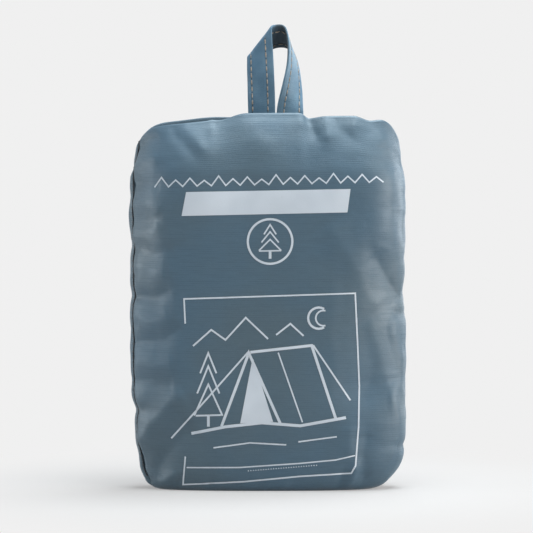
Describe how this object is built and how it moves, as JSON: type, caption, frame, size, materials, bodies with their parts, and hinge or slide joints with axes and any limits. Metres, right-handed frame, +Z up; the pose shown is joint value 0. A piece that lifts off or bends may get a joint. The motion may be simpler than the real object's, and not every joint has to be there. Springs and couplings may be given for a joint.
{
  "type": "tent organizer",
  "caption": "Wall of mesh pockets with corner hooks, folded up in a stuffed upright fabric storage pouch with an open mouth and a carry loop.",
  "frame": {"origin": "centre of the bounding box's base, on the floor under the middle of the pouch", "axes": "+Z up out of the pouch's mouth, -Y out of the printed front, +X to the right seen from the front"},
  "size_m": [0.15, 0.0456, 0.254],
  "materials": {
    "shell": "coated woven polyester, soft sheen",
    "thread": "overlocked thread",
    "strip": "folded and stitched polyester strip",
    "cloth": "uncoated woven polyester",
    "mesh": "knitted mesh",
    "tape": "woven tape",
    "elastic": "woven elastic binding",
    "plastic": "moulded, fine texture"
  },
  "bodies": {
    "pouch": {"pouch_front_panel": "shell", "pouch_back_panel": "shell", "left_seam_overlock": "thread", "right_seam_overlock": "thread", "bottom_seam_overlock": "thread", "loop_end_left": "strip", "loop_end_right": "strip"},
    "organizer": {"organizer_backing": "cloth", "top_edge_tape": "tape", "bottom_edge_tape": "tape", "left_edge_tape": "tape", "right_edge_tape": "tape", "row_tape": "tape", "upper_left_divider": "tape", "upper_right_divider": "tape", "lower_left_divider": "tape", "lower_right_divider": "tape", "upper_left_pocket": "mesh", "upper_centre_pocket": "mesh", "upper_right_pocket": "mesh", "lower_left_pocket": "mesh", "lower_centre_pocket": "mesh", "lower_right_pocket": "mesh", "upper_left_pocket_elastic": "elastic", "upper_centre_pocket_elastic": "elastic", "upper_right_pocket_elastic": "elastic", "lower_left_pocket_elastic": "elastic", "lower_centre_pocket_elastic": "elastic", "lower_right_pocket_elastic": "elastic", "stash_pocket": "cloth", "top_left_strap": "tape", "bottom_left_strap": "tape", "top_right_strap": "tape", "bottom_right_strap": "tape", "top_left_hook": "plastic", "bottom_left_hook": "plastic", "top_right_hook": "plastic", "bottom_right_hook": "plastic"},
    "loop": {"carry_loop": "strip"}
  },
  "joints": [
    {"name": "organizer_pull_out", "type": "slide", "parent": "pouch", "child": "organizer", "axis": [0, 0, 1], "range_m": [0, 0.19]},
    {"name": "carry_loop_fold", "type": "hinge", "parent": "pouch", "child": "loop", "pos_m": [0, 0.01518, 0.20294], "axis": [-1, 0, 0], "range_deg": [0, 90], "stiffness_Nm_per_rad": 0.005}
  ]
}
